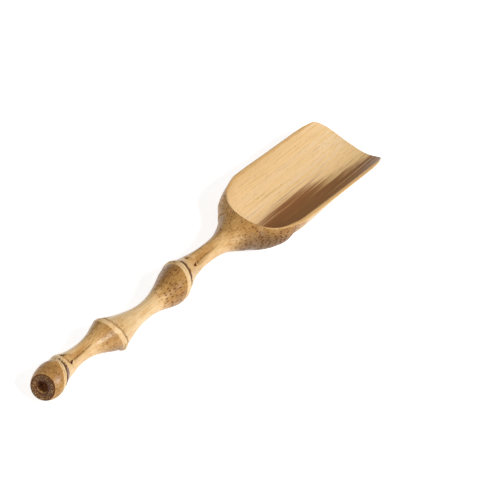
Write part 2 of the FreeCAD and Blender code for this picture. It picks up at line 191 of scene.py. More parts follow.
def add_piece(name, grid, layers, node_names, closed_rows=False, caps=(True, True)):
    """Make a piece of a grid of points: rows by around by 3.

    A cap is a fan from the middle of the first or last row. Layers are numbers per
    point that the finishes read.
    """
    rows, around = grid.shape[:2]
    faces = grid_faces(rows, around, closed_rows).tolist()
    points = grid.reshape(-1, 3)
    flat = {layer: np.broadcast_to(values, (rows, around)).astype(np.float32).ravel()
            for layer, values in layers.items()}
    capped = [row for wanted, row in zip(caps, (0, rows - 1)) if wanted and not closed_rows]
    for row in capped:
        ring = row * around + np.arange(around)
        pairs = np.stack([ring, np.roll(ring, -1)], -1)
        pairs = pairs[:, ::-1] if row == 0 else pairs
        faces += [[a, b, len(points)] for a, b in pairs.tolist()]
        points = np.vstack([points, grid[row].mean(0)])
        flat = {layer: np.append(values, values[ring].mean()) for layer, values in flat.items()}
    into_frame(name, points, faces, flat, node_names)


def mend(piece):
    """Merge doubled points, turn every face outwards and shade the piece smoothly."""
    work = bmesh.new()
    work.from_mesh(piece.data)
    bmesh.ops.remove_doubles(work, verts=work.verts, dist=MERGE_WITHIN)
    bmesh.ops.dissolve_degenerate(work, edges=work.edges, dist=MERGE_WITHIN)
    bmesh.ops.recalc_face_normals(work, faces=work.faces)
    for face in work.faces:
        face.smooth = True
    work.to_mesh(piece.data)
    work.free()

# %% [markdown]
# ## The handle's growth joints
#
# Each joint is wide at the rings and narrow between them. A lathe shape would be too
# regular, because the rings are tilted and the joints swing from side to side. So a
# loop is carried along a line of stations that hold its place, radius and tilt. A
# second, inner run of loops makes the bore that the pith sits in.

# %% Stations of the handle, in millimetres and degrees
AXIS_HIGH = 5.72
RING_ONE_AT, RING_TWO_AT, RING_THREE_AT = -75.29, -49.89, -18.09
BUTT = {"x": [-81.59, -80.6, -79.0, -77.1, -76.0],
        "side": [0.16, 0.3, 0.42, 0.49, 0.3],
        "radius": [3.6, 4.12, 4.62, 4.82, 4.72],
        "lean": [14.7, 14.0, 12.6, 10.5, 7.75],
        "turn": [4.2, 1.0, -4.5, -13.0, -24.9]}
SECOND = {"x": [-75.05, -73.4, -69.0, -65.1, -61.0, -57.35, -54.0, -51.1],
          "side": [0.11, 0.99, 1.15, 1.23, 1.1, 0.83, 0.5, 0.16],
          "radius": [4.5, 4.08, 3.05, 2.5, 2.55, 3.25, 4.4, 5.55],
          "lean": [7.7, 4.0, 1.5, 0.0, -2.0, -8.0, -15.0, -22.0],
          "turn": [-24.9, -15.0, -7.0, -3.0, -1.0, 0.0, -1.0, -1.6]}
THIRD = {"x": [-49.6, -46.15, -42.0, -37.28, -33.0, -29.53, -24.5, -21.3, -19.15],
         "side": [0.0, -0.44, -0.66, -0.79, -0.78, -0.72, -0.45, -0.1, -0.03],
         "radius": [5.2, 4.04, 3.0, 2.42, 2.5, 3.07, 4.5, 5.5, 5.76],
         "lean": [-22.6, -16.0, -8.0, 0.0, 2.0, 5.0, 7.6, 9.2, 10.4],
         "turn": [-1.6, -2.0, -3.4, -5.0, -7.5, -10.0, -14.0, -17.0, -18.0]}
FACE_AT = BUTT["x"][0]
FACE_MIDDLE = np.array([FACE_AT, BUTT["side"][0], AXIS_HIGH])
FACE_PLANE = (BUTT["lean"][0], BUTT["turn"][0])
BUTT_BORE = [1.68, 1.55, 1.05, 1.05]
WAIST_BORE = [1.05, 0.75, 1.05]
SKIN_RIPPLE = {"height": 0.035, "size": 2.6, "stretch": 1.8}
SCAR_DEEP = 0.5
AROUND = 168
ROWS = 110
BORE_ROWS = 12
loop_angle = np.linspace(0, 2 * np.pi, AROUND, endpoint=False) - np.pi / 2


def joint_loops(stations, rows_at, radius_at):
    """Loops along a joint: the middle, plus the radius towards each angle.

    The angle is 0 on the left hand side and a quarter turn at the top.
    """
    side, lean, turn_angle = (smooth(stations["x"], stations[key], rows_at)
                              for key in ("side", "lean", "turn"))
    middle = np.stack([rows_at, side, np.full_like(rows_at, AXIS_HIGH)], -1)
    across, up, _ = tilted(lean, turn_angle)
    towards = (across[:, None] * np.cos(loop_angle)[None, :, None]
               + up[:, None] * np.sin(loop_angle)[None, :, None])
    return middle[:, None] + radius_at[..., None] * towards, towards


def from_furrow(x, path_x, path_angle):
    """How far the loops at x are from a furrow's middle line, in radians."""
    centre = np.radians(smooth(path_x, path_angle, x))
    return (loop_angle[None] - centre + np.pi) % (2 * np.pi) - np.pi


def furrow_depth(rows_at, start, end, path_x, path_angle, deep, wide):
    """A furrow's depth: a notch across the angle, deepest just past the bud.

    The notch falls steeply on its right hand side and gently on its left.
    """
    across = from_furrow(rows_at[:, None], path_x, path_angle)
    along = (ease(start, start + 1.3, rows_at) * (1 - ease(start + 2.0, end, rows_at)))[:, None]
    half = np.where(across > 0, wide * 0.35, wide)
    return deep * along * np.exp(-(across / half) ** 2)


def joint_piece(name, stations, node_name, carve, tone, bores):
    """One growth joint as a closed shell: its skin one way and its bore back."""
    start, end = stations["x"][0], stations["x"][-1]
    rows_at = start + (end - start) * (0.5 - 0.5 * np.cos(np.linspace(0, np.pi, ROWS)))
    radius = smooth(stations["x"], stations["radius"], rows_at)[:, None] - carve(rows_at)
    points, towards = joint_loops(stations, rows_at, radius)
    rough = ripple(points, SKIN_RIPPLE["size"], SKIN_RIPPLE["stretch"])
    points = points + towards * (SKIN_RIPPLE["height"] * rough)[..., None]
    bore_at = np.linspace(end, start, BORE_ROWS)
    bore_radius = smooth(np.linspace(start, end, len(bores)), bores, bore_at)[:, None]
    bore, _ = joint_loops(stations, bore_at, bore_radius)
    both = np.concatenate([points, bore])
    add_piece(name, both, tone(both), [node_name], closed_rows=True)


def skin_layers(tan, dots, grey, scar=0.0):
    """The four numbers that the bamboo finish reads at every point."""
    return {"tan": tan, "dots": dots, "grey": grey, "scar": scar}


def scar_groove(past_ring, width):
    """How deep the leaf scar is at a distance past the ring, as a share of its depth."""
    return 1 - ease(0.25 * width, width, past_ring)


def band_share(points, ring_at, side, lean, turn_angle, width):
    """How far a point is into the pale band just before a ring, as a share."""
    _, _, ahead = tilted(lean, turn_angle)
    before = (points - np.array([ring_at, side, AXIS_HIGH])) @ ahead
    return ease(-width - 0.25, -width + 0.1, before)


# %% The butt joint
FACE_ROUNDING = 0.28


def butt_carve(rows_at):
    """The arris of the sawn face is slightly worn."""
    near = np.clip(1 - (rows_at - FACE_AT) / FACE_ROUNDING, 0, 1)
    return (FACE_ROUNDING * (1 - np.sqrt(1 - near ** 2)))[:, None]


def butt_tone(points):
    """Tan all over, with pits, and a sawn face that is marked by how near it is."""
    x, z = points[..., 0], points[..., 2]
    _, _, ahead = tilted(*FACE_PLANE)
    place = points - FACE_MIDDLE
    unbanded = 1 - band_share(points, ring_at=-76.0, side=0.2, lean=7.7, turn_angle=-25.0, width=0.35)
    tan = 0.2 + (0.46 + 0.2 * bump(-79, 2.5, x)) * unbanded
    layers = skin_layers(tan, 0.55 * unbanded, 0.3 * ease(5.2, 1.5, z))
    layers["sawn"] = 1 - ease(0.02, 0.2, place @ ahead)
    layers["across"] = np.linalg.norm(place[..., 1:], axis=-1) / BUTT["radius"][0]
    return layers


joint_piece("butt_joint_wood", BUTT, "butt_internode", butt_carve, butt_tone, BUTT_BORE)

# %% The second joint, with the furrow that runs on from its bud
SECOND_FURROW = {"start": -69.6, "end": -57.0, "path_x": [-72.0, -67.87, -63.87, -59.0, -52.0],
                 "path_angle": [104.0, 119.0, 117.0, 106.0, 100.0]}
SECOND_PITS = ((-71.5, 66, 0.45), (-70.4, 128, 0.5))
GROOVE_WIDE, STAIN_WIDE = 0.85, 1.25
PIT_LONG = 0.5


def pits_at(rows_at, pits):
    """Small pits: how deep they are at every point of the loops."""
    return sum(deep * bump(at, PIT_LONG, rows_at)[:, None]
               * bump(np.radians(angle), 0.15, loop_angle)[None] for at, angle, deep in pits)


def second_carve(rows_at):
    """The leaf scar, the furrow that the bud pressed in, and two pits beside the bud."""
    groove = SCAR_DEEP * scar_groove(rows_at - SECOND["x"][0], GROOVE_WIDE)[:, None]
    furrow = furrow_depth(rows_at, deep=0.95, wide=0.42, **SECOND_FURROW)
    return groove + furrow + pits_at(rows_at, SECOND_PITS)


def furrow_tone(x, furrow):
    """The flat face left of a furrow, and the dark line at its foot that is painted shade, as two
    shares.
    """
    start, end = furrow["start"], furrow["end"]
    along = ease(start, start + 0.7, x) * (1 - ease(end - 7, end, x))
    return face_and_line(along, from_furrow(x, furrow["path_x"], furrow["path_angle"]))


def face_and_line(along, across):
    """The two shares of a furrow, from how far along and how far across it a point is."""
    face = along * ease(-0.9, -0.2, across) * ease(0.2, 0.02, across)
    return face, along * bump(0.02, 0.09, across)


def second_tone(points):
    """Honey past the first ring, tan on the furrow's face and towards the second ring."""
    x, z = points[..., 0], points[..., 2]
    swell = ease(-62, -55, x)
    face, line = furrow_tone(x, SECOND_FURROW)
    stain = STAIN_WIDE * (1 + 1.1 * ease(-0.6, 1.0, np.sin(loop_angle)))[None]
    # The pits beside the bud are darkened here as painted shade, and so is the furrow's foot below.
    pits = 2.0 * pits_at(x[:, 0], SECOND_PITS)
    scar = np.maximum(scar_groove(x - SECOND["x"][0], stain), pits)
    unbanded = 1 - band_share(points, ring_at=-51.1, side=0.02, lean=-22.6, turn_angle=-1.6, width=0.5)
    tan = 0.29 + (0.45 * swell + 0.5 * face) * unbanded
    grey = 0.7 * ease(-57, -52, x) * ease(7.5, 3.0, z)
    dots = (0.15 + 0.6 * swell) * unbanded
    return skin_layers(tan, dots, grey, np.maximum(scar, 0.55 * line))


joint_piece("second_joint_wood", SECOND, "second_internode", second_carve, second_tone, WAIST_BORE)

# %% The third joint
THIRD_FURROW = {"start": -44.0, "end": -36.0, "path_x": [-46.0, -36.0], "path_angle": [-90.0, -90.0]}


def third_carve(rows_at):
    """The leaf scar, and a dent from the bud of the second ring, which is underneath."""
    groove = SCAR_DEEP * scar_groove(rows_at - THIRD["x"][0], 0.45)[:, None]
    return groove + furrow_depth(rows_at, deep=0.3, wide=0.3, **THIRD_FURROW)


def third_tone(points):
    """Cream in the waist, brown and well dotted near the third ring."""
    x, z = points[..., 0], points[..., 2]
    bulge = ease(-34, -24, x)
    unbanded = 1 - band_share(points, ring_at=-19.2, side=-0.01, lean=10.6, turn_angle=-18.0, width=0.75)
    tan = 0.24 + 0.1 * ease(-44, -49, x) + 0.68 * bulge * unbanded
    dots = 0.15 + 0.85 * ease(-34, -28, x) * unbanded
    grey = 0.5 * bulge * ease(5.5, 1.5, z)
    return skin_layers(tan, dots, grey, 0.3 * scar_groove(x - THIRD["x"][0], 0.4))


joint_piece("third_joint_wood", THIRD, "third_internode", third_carve, third_tone, WAIST_BORE)

# %% [markdown]
# ## The growth rings
#
# A leaf sheath once grew out of every ring. When it falls off it leaves a pale band
# with a ragged lip and a dark scar just past it. The profile below goes along the
# scoop and back through the bore, and is carried round the leant plane of the ring.

# %% Rings
BORE_RADIUS = 1.06
OUTSIDE_OVER = 2.0
LIP_WANDER, LIP_SWELL = 0.07, 0.05


def ring_piece(name, at, side, radius, swell, after, band, scar, lean, turn_angle, node_name,
               seed, stain=1.0):
    """A band, a ragged lip and a scar, carried round a leant circle.

    The profile holds, for each point, how far along the ring's axis it lies, its radius,
    how much of the lip's wander it takes, and how dark and rough it is. The lip's edge
    wanders by a few waves of different lengths.
    """
    start = at - 0.22 - band
    end = at + scar
    profile = np.array([
        [start, swell - 0.25, 0.0, 0.2], [start + 0.03, swell, 0.0, 0.2],
        [start + band * 0.35, swell + 0.1, 0.2, 0.1], [start + band * 0.7, swell + 0.12, 0.7, 0.05],
        [at - 0.16, radius + 0.08, 1.0, 0.1], [at - 0.05, radius - 0.1, 1.0, 0.75],
        [at + 0.04, radius - 0.4, 0.9, 1.0], [at + 0.12, after - SCAR_DEEP, 0.5, 1.0],
        [end, after - SCAR_DEEP, 0.0, 1.0], [end, BORE_RADIUS, 0.0, 0.1],
        [start, BORE_RADIUS, 0.0, 0.1]])
    draw = np.random.default_rng(seed)
    waves = sum(draw.normal() * np.sin(loop_angle * k + draw.uniform(0, 6.3)) / k ** 0.55
                for k in (3, 5, 8, 13, 21, 34))
    ragged = LIP_WANDER * waves / np.abs(waves).max() * 1.6
    across, up, ahead = tilted(lean, turn_angle)
    towards = np.cos(loop_angle)[:, None] * across + np.sin(loop_angle)[:, None] * up
    along = (profile[:, 0] - at)[:, None] + profile[:, 2:3] * ragged[None]
    swelling = profile[:, 3:4] * LIP_SWELL * (profile[:, 1:2] > OUTSIDE_OVER)
    out = profile[:, 1:2] + swelling * np.roll(waves, 9)[None]
    middle = np.array([at, side, AXIS_HIGH])
    points = middle + along[..., None] * ahead + out[..., None] * towards[None]
    layers = skin_layers(0.12, 0.0, 0.0, stain * profile[:, 3:4])
    add_piece(name, points, layers, [node_name], closed_rows=True)


RINGS = {
    "ring_one_band": {"at": RING_ONE_AT, "side": 0.11, "radius": 4.67, "swell": 4.72, "after": 4.42,
                      "band": 0.5, "scar": 0.42, "lean": 7.7, "turn_angle": -25.0,
                      "node_name": "ring_one_collar", "seed": 3},
    "ring_two_band": {"at": RING_TWO_AT, "side": 0.02, "radius": 5.42, "swell": 5.55, "after": 5.2,
                      "band": 1.0, "scar": 0.3, "lean": -22.6, "turn_angle": -1.6,
                      "node_name": "ring_two_collar", "seed": 5, "stain": 0.7},
    "ring_three_band": {"at": RING_THREE_AT, "side": -0.01, "radius": 5.64, "swell": 5.74,
                        "after": 5.36, "band": 0.9, "scar": 0.4, "lean": 10.6, "turn_angle": -18.0,
                        "node_name": "ring_three_collar", "seed": 9}}
for ring, sizes in RINGS.items():
    ring_piece(ring, **sizes)

# %% [markdown]
# ## The buds and the pith
#
# A bud is a small pale scale, round at the ring's side and cut off steeply towards
# the tip. It is a low dome whose outline is an oval, laid on the wood it grew from.
# The pith at the butt is crumbled, so its dome is sunk and rough.

# %% Buds
ROOT_HIGH = 0.9
BUD_RIPPLE = 0.04


def bud_piece(name, place, length, width, height, angle, round_radius, node_name):
    """A low dome over an oval that lies across the joint and follows its roundness."""
    spread = np.linspace(0, np.pi, 26)[:, None]
    around = np.linspace(0, 2 * np.pi, 56, endpoint=False)[None]
    reach = np.sin(spread) ** 0.8
    lie = np.radians(angle)
    outward = np.array([0, np.cos(lie), np.sin(lie)])
    across = np.array([0, -np.sin(lie), np.cos(lie)])
    wide = width / 2 * reach * np.sin(around)
    crescent = 0.35 * (wide / width * 2) ** 2
    along = length / 2 * (reach * np.cos(around) * (1 + 0.2 * np.cos(around)) - crescent)
    dome = np.where(spread < np.pi / 2, height, ROOT_HIGH) * np.cos(spread)
    rise = dome * (1 + 0.5 * np.cos(around) * reach) - wide ** 2 / (2 * round_radius)
    ahead = np.array([1.0, 0, 0])
    points = (np.array(place) + along[..., None] * ahead + wide[..., None] * across
              + rise[..., None] * outward)
    points = points + BUD_RIPPLE * ripple(points, 0.7)[..., None] * outward
    # The dark corners and the dark outline round the bud's foot are painted shade.
    corners = 0.9 * ease(0.6, 0.9, reach) * ease(0.8, 0.96, np.abs(np.sin(around)))
    outline = 0.22 * ease(0.78, 0.96, reach) + 0.12 * ease(0.8, 1.0, reach * np.cos(around))
    layers = skin_layers(0.25 + 0.3 * reach, 0.0, 0.0, corners + outline)
    add_piece(name, points, layers, [node_name], caps=(False, False))


BUDS = {
    "bud_one": {"place": (-70.9, 0.45, 9.5), "length": 2.3, "width": 3.2, "height": 0.5, "angle": 97,
                "round_radius": 3.7, "node_name": "ring_one_bud"},
    "bud_two": {"place": (-45.6, -0.45, 1.75), "length": 2.0, "width": 2.6, "height": 0.3,
                "angle": -90, "round_radius": 4.0, "node_name": "ring_two_bud"},
    "bud_three": {"place": (-11.9, 0.3, 9.65), "length": 2.5, "width": 3.4, "height": 0.5,
                  "angle": 97, "round_radius": 3.7, "node_name": "ring_three_bud"}}
for bud, sizes in BUDS.items():
    bud_piece(bud, **sizes)

# %% Pith at the butt
PITH_MOUTH, PITH_CRUMBS = 1.66, 0.16


def pith_piece():
    """A rough, sunken plug: a disc whose depth dips to the middle, and a tail behind."""
    angle = loop_angle[None]
    across, up, ahead = tilted(*FACE_PLANE)

    def loops(depth, wide):
        """Loops at depths behind the sawn face, with a half width for each point."""
        return (FACE_MIDDLE + depth[..., None] * ahead + (wide * np.cos(angle))[..., None] * across
                + (wide * np.sin(angle))[..., None] * up)

    reach = np.linspace(1, 0, 22)[:, None]
    inner = reach < 0.99
    ragged = (1 + 0.1 * np.sin(3 * angle + 1) + 0.07 * np.sin(7 * angle)
              + 0.05 * np.sin(13 * angle + 2))
    wide = 1.62 * reach * ragged * inner + PITH_MOUTH * (~inner)
    dip = 0.9 * np.sqrt(np.clip(1 - reach ** 2, 0, 1))
    front = loops(0.35 + dip, wide)
    front = front + (PITH_CRUMBS * ripple(front, 0.42) * inner)[..., None] * ahead
    tail = loops(np.array([[2.0], [4.6]]), np.array([[1.55], [BORE_RADIUS]]))
    points = np.concatenate([tail[::-1], front])
    add_piece("butt_pith", points, {}, ["butt_pith_core"], caps=(True, False))


pith_piece()

# %% [markdown]
# ## The neck and the bowl
#
# One surface runs from the last ring through the neck, flares, and opens into the
# trough. The skin is a run of ovals. The hollow is a ball at the back and a widening
# half pipe in front of it. Where the ball meets the skin they make a thin crest, and
# further on the flat rim cuts both. Each row therefore works out at which angle the
# skin ends and at which angle the hollow ends, and the rim is laid between the two.

# %% Sizes of the bowl, in millimetres
TIP_AT, BOWL_AT, CREST_AT = 82.5, 26.5, 15.0
TROUGH_END = 88.5
SKIN_X = [-17.87, -15.1, -12.0, -7.13, -2.12, 1.65, 5.38, 7.87, 10.4, 13.64, 16.39, 19.7, 23.7, 26.5]
SKIN_SIDE = [0.0, 0.45, 0.9, 0.975, 0.75, 0.6, 0.4, 0.19] + [0] * 6
SKIN_HIGH = [5.72, 5.72, 5.9, 6.15, 6.42, 6.49, 6.49, 6.33, 6.1, 5.83, 5.5, 7.8, 9.79, 12.83]
SKIN_WIDE = [5.4, 4.63, 3.67, 2.82, 2.58, 2.71, 3.33, 4.28, 5.36, 6.8, 8.5, 11.25, 12.65, 12.73]
SKIN_TALL = [5.4, 4.63, 3.67, 2.82, 2.58, 2.64, 3.06, 3.48, 4.0, 4.62, 5.06, 7.4, 9.75, 12.73]
SKIN_LEAN = [10.6, 8.5, 6.4, 2.65] + [0] * 10
SKIN_TURN = [-18.0, -14.4, -10.8, -4.5] + [0] * 10
TROUGH_RISE, TROUGH_WIDENING = 2.83, 1.93
HOLLOW_HIGH, HOLLOW_RISE = 13.46, 2.88
HOLLOW_RADIUS, HOLLOW_WIDENING = 11.86, 2.28
BALL_BACK = 11.85
RIM_BACK, RIM_TIP = 11.0, 8.7
TIP_START, SIDE_HALF = 64.5, 12.98
TIP_SQUARENESS = (3.6, 6.5)
TIP_ROUNDNESS, TIP_SKEW = 0.41, 0.13
RIM_ROUNDING = 0.3
COLUMNS = 200


def skin_at(x):
    """Middle height, half width, half height and sideways shift of the skin at x."""
    share = np.clip((x - BOWL_AT) / (TROUGH_END - BOWL_AT), 0, 1)
    back = np.minimum(x, BOWL_AT)
    grows = ((SKIN_HIGH, TROUGH_RISE), (SKIN_WIDE, TROUGH_WIDENING), (SKIN_TALL, TROUGH_WIDENING),
             (SKIN_SIDE, 0))
    return tuple(np.where(x < BOWL_AT, smooth(SKIN_X, values, back), values[-1] + more * share)
                 for values, more in grows)


def hollow_at(x):
    """Middle height and radius of the hollow at x: a ball, then a widening pipe."""
    share = np.clip((x - BOWL_AT) / (TROUGH_END - BOWL_AT), 0, 1)
    behind = np.clip(BOWL_AT - x, 0, BALL_BACK)
    radius = np.where(x < BOWL_AT, np.sqrt(HOLLOW_RADIUS ** 2 - behind ** 2),
                      HOLLOW_RADIUS + HOLLOW_WIDENING * share)
    return HOLLOW_HIGH + HOLLOW_RISE * share, radius


def rim_high(x):
    """Height of the rim: level at the back and falling to the tip."""
    falls_from = BOWL_AT + 2.24
    fallen = (x - falls_from) * (RIM_BACK - RIM_TIP) / (TIP_AT - falls_from)
    return np.where(x < falls_from, RIM_BACK, RIM_BACK - fallen)


def angle_at_rim(x, middle_high, half_high):
    """The angle from the bottom at which an oval reaches the height of the rim."""
    return np.arccos(np.clip((middle_high - rim_high(x)) / half_high, -1, 1))


def outline_x(y, inset):
    """How far the tip reaches at y: a squarish oval, trimmed a little on its right."""
    share = np.clip(np.abs(y) / (SIDE_HALF - inset), 0, 1)
    reach = (1 - share ** np.where(y > 0, *TIP_SQUARENESS)) ** TIP_ROUNDNESS
    trimmed = TIP_SKEW * np.clip(-y, 0, 9) * reach
    return TIP_START + (TIP_AT - inset - TIP_START) * reach - trimmed


print("tip reaches", np.round(outline_x(np.array([0.0, 8.0, 12.0]), 0.0), 2), "mm")

# %% Where the skin and the hollow end, row by row
BEFORE_CREST, AFTER_CREST = 0.8, 3.2
neck_rows = np.linspace(SKIN_X[0], CREST_AT - BEFORE_CREST, 92)
crest_rows = CREST_AT - BEFORE_CREST + BEFORE_CREST * np.linspace(0, 1, 9)[1:]
opening_rows = CREST_AT + AFTER_CREST * np.linspace(0, 1, 34)[1:] ** 2
run_rows = np.linspace(CREST_AT + AFTER_CREST, 62.0, 76)[1:]
row_x = np.concatenate([neck_rows, crest_rows, opening_rows, run_rows])
first_open = len(neck_rows) + len(crest_rows) - 1
tip_steps = np.sin(np.linspace(0, np.pi / 2, 44)[1:])


def end_angles(x):
    """The angles from the bottom at which the skin and the hollow end at x.

    The rim gives one limit and the crest, where the ball meets the skin, another.
    """
    high, wide, tall, _ = skin_at(x)
    ball_high, ball = hollow_at(x)
    scan = np.linspace(0, np.pi, 2401)[None]
    y = wide[:, None] * np.sin(scan)
    z = high[:, None] - tall[:, None] * np.cos(scan)
    inside = y ** 2 + (z - ball_high[:, None]) ** 2 < (ball ** 2)[:, None]
    hit = np.where(inside.any(1), inside.argmax(1), scan.size - 1)
    skin_crest = scan[0, hit]
    cross_y = wide * np.sin(skin_crest)
    cross_z = high - tall * np.cos(skin_crest)
    hollow_crest = np.arctan2(cross_y, ball_high - cross_z)
    skin_limit = np.minimum(skin_crest, angle_at_rim(x, high, tall))
    return (np.where(x > CREST_AT, skin_limit, np.pi),
            np.minimum(hollow_crest, angle_at_rim(x, ball_high, ball)))


skin_end, hollow_end = end_angles(row_x)
pull = RIM_ROUNDING * ease(CREST_AT, CREST_AT + 1.6, row_x)
print("open rows:", int((row_x > CREST_AT).sum()), "of", len(row_x))

# %% The two sheets
TIP_LIFT, FLANK_FULLNESS = 1.0, 0.75
column = np.linspace(-1, 1, COLUMNS)


def tip_lift(x, y):
    """The floor of the trough rises a little towards the tip."""
    return TIP_LIFT * ease(66.0, TIP_AT, x) * bump(0.5, 7.5, y)


def skin_points(x, angle):
    """Points of the skin: an oval's sine to the left and its cosine downwards.

    The lower flanks of the trough are a little fuller than the oval.
    """
    high, wide, tall, side = skin_at(x)
    full = FLANK_FULLNESS * bump(31.0, 11.0, x) * bump(1.0, 0.36, np.abs(angle))
    y, z = side + (wide + full) * np.sin(angle), high - (tall + full) * np.cos(angle)
    return np.stack([x + 0 * angle, y, z + tip_lift(x, y)], -1)


def hollow_points(x, angle):
    """Points of the hollow: a circle's sine to the left and its cosine downwards."""
    high, radius = hollow_at(x)
    y, z = radius * np.sin(angle), high - radius * np.cos(angle)
    return np.stack([x + 0 * angle, y, z + tip_lift(x, y)], -1)


FIRST_GUESS, CORRECTIONS = 72.0, 12


def tip_sheet(points_at, inset):
    """Rows that bend from a straight line across to the outline of the tip.

    How far a column reaches depends on where it lies across, and that depends on how far
    it reaches, because the rim falls. So a first guess is corrected a few times.
    """
    start = row_x[-1]
    reach = np.full(COLUMNS, FIRST_GUESS)
    for _ in range(CORRECTIONS):
        y = points_at(reach, column * rim_angle(points_at, reach, inset))[..., 1]
        reach = outline_x(np.clip(y, -SIDE_HALF + inset, SIDE_HALF - inset), inset)
    x = start + (reach - start)[None] * tip_steps[:, None]
    return points_at(x, column[None] * rim_angle(points_at, x, inset))


def rim_angle(points_at, x, inset):
    """The angle at which the rim, less its rounding, ends a sheet."""
    high, tall = skin_at(x)[::2] if points_at is skin_points else hollow_at(x)
    return angle_at_rim(x, high, tall) - inset / tall


OPENING_CENTRE, OPENING_REACH, OPENING_POWER = 30.0, 15.0, 2.15
OPENING_HALF, OPENING_LOW = 12.62, 10.5


def opening_edge(x):
    """Where the outer edge of the opening should run: a round back end, rising to the rim."""
    back = np.clip((OPENING_CENTRE - x) / OPENING_REACH, 0, 1)
    y = OPENING_HALF * (1 - back ** OPENING_POWER) ** (1 / OPENING_POWER)
    z = OPENING_LOW + (RIM_BACK - OPENING_LOW) * ease(16.0, 25.0, x)
    wall = 0.1 + 0.95 * ease(CREST_AT + 0.4, 26.0, x)
    return y, z, wall


def drawn_to(sheet, y, z):
    """Bend each row's ends to the wanted height and width, leaving its middle alone.

    The bend grows with the cube of the distance from the middle of the row.
    """
    near = (row_x > CREST_AT) & (row_x < OPENING_CENTRE)
    share = near * (1 - ease(25.5, OPENING_CENTRE, row_x))
    weight = share[:, None] * np.abs(column[None]) ** 3
    end_y = np.abs(sheet[:, 0, 1])
    is_open = (end_y > 0.001)[:, None]
    change_y = np.sign(column)[None] * (y - end_y)[:, None]
    change_z = (z - sheet[:, 0, 2])[:, None]
    sheet[..., 1] += weight * change_y * is_open
    sheet[..., 2] += weight * change_z
    return sheet


def both_sheets(inset):
    """The skin and the hollow, ending short of the rim by the inset."""
    down = inset / RIM_ROUNDING * pull
    edge_y, edge_z, wall = opening_edge(row_x)
    sheets = []
    for points_at, end, half_high, y in (
            (skin_points, skin_end, skin_at(row_x)[2], edge_y),
            (hollow_points, hollow_end, hollow_at(row_x)[1], edge_y - wall)):
        angle = column[None] * (end - down / half_high)[:, None]
        drawn = drawn_to(points_at(row_x[:, None], angle), y, edge_z - down)
        sheets.append(np.concatenate([drawn, tip_sheet(points_at, inset)]))
    return sheets[0], sheets[1][first_open:]


skin_sheet, hollow_sheet = both_sheets(RIM_ROUNDING)
skin_edge, hollow_edge = both_sheets(0.0)
print("skin", skin_sheet.shape, "hollow", hollow_sheet.shape)

# %% [markdown]
# The rim is a narrow strip between the two sheets. It runs from the crest along the
# right side, across the tip, and back along the left side. Its two corners are
# rounded by bending towards the places where the sheets would really have ended.

# %% The rim strip
def edge_loop(sheet):
    """The edge of a sheet: along its right side, across the tip, back on the left."""
    return np.concatenate([sheet[:, 0], sheet[-1, 1:-1], sheet[::-1, -1]])


def bend(first, corner, last, t):
    """A curve from first to last that leaves and arrives pointing at the corner."""
    return first * (1 - t) ** 2 + corner * 2 * t * (1 - t) + last * t ** 2


outer, outer_corner = edge_loop(skin_sheet[first_open:]), edge_loop(skin_edge[first_open:])
inner, inner_corner = edge_loop(hollow_sheet), edge_loop(hollow_edge)
crown = (outer_corner + inner_corner) / 2
steps = np.linspace(0, 1, 6)
rim_strip = np.stack([bend(outer, outer_corner, crown, t) for t in steps]
                     + [bend(crown, inner_corner, inner, t) for t in steps[1:]], 1)
print("rim strip", rim_strip.shape)

# %% Lean the neck's rows, press the furrow, and join everything
NECK_FURROW_X, NECK_FURROW_ANGLE = [-12.0, -11.1, -5.4, 2.0], [0.66, 0.63, 0.5, 0.3]
BUD_PITS = ((-12.6, -0.42, 0.45), (-11.2, 0.62, 0.5))


def neck_marks(x, angle):
    """How far each point is into the leaf scar, the pits and the furrow beside the bud."""
    from_top = (angle % (2 * np.pi)) - np.pi
    across = from_top - smooth(NECK_FURROW_X, NECK_FURROW_ANGLE, x)
    half = np.where(across > 0, 0.18, 0.62)
    along = ease(-10.6, -9.6, x) * (1 - ease(-6.0, 3.0, x))
    pits = sum(deep * bump(at, PIT_LONG, x) * bump(at_angle, 0.16, from_top)
               for at, at_angle, deep in BUD_PITS)
    stain = STAIN_WIDE * (1 + 1.1 * ease(1.9, 0.4, np.abs(from_top)))
    past_ring = x - SKIN_X[0]
    face, line = face_and_line(along, across)
    return {"groove": scar_groove(past_ring, GROOVE_WIDE), "pits": pits,
            "stain": scar_groove(past_ring, stain),
            "furrow": along * np.exp(-(across / half) ** 2), "face": face, "line": line}


UPRIGHT_FROM, NECK_FURROW_DEEP = 5.0, 1.05
row_count = len(row_x)
high, _, tall, side = skin_at(row_x)
limit = skin_end - pull / tall
leaning_x = np.minimum(row_x, UPRIGHT_FROM)
across, up, _ = tilted(smooth(SKIN_X, SKIN_LEAN, leaning_x), smooth(SKIN_X, SKIN_TURN, leaning_x))
middle = np.stack([row_x, side, high], -1)[:, None]
offset = skin_sheet[:row_count] - middle
marks = neck_marks(row_x[:, None], column[None] * limit[:, None])
carved_depth = SCAR_DEEP * marks["groove"] + marks["pits"] + NECK_FURROW_DEEP * marks["furrow"]
offset = offset * (1 - carved_depth / tall[:, None])[..., None]
skin_sheet[:row_count] = (middle + offset[..., 1:2] * across[:, None]
                          + offset[..., 2:3] * up[:, None])


def sheet_faces(first_index, shape):
    """Four-cornered faces of an open grid whose points start at the first index."""
    index = first_index + np.arange(shape[0] * shape[1]).reshape(shape[:2])
    corners = [index[:-1, :-1], index[1:, :-1], index[1:, 1:], index[:-1, 1:]]
    return np.stack(corners, -1).reshape(-1, 4)


# Where the painted shade on the hollow's right wall ends, at stations along the trough.
SHADE_X, SHADE_SIDE = [14, 28, 40, 55, 66, 83], [-1.5, 0.3, 1.4, 0.4, -2.6, -5.2]


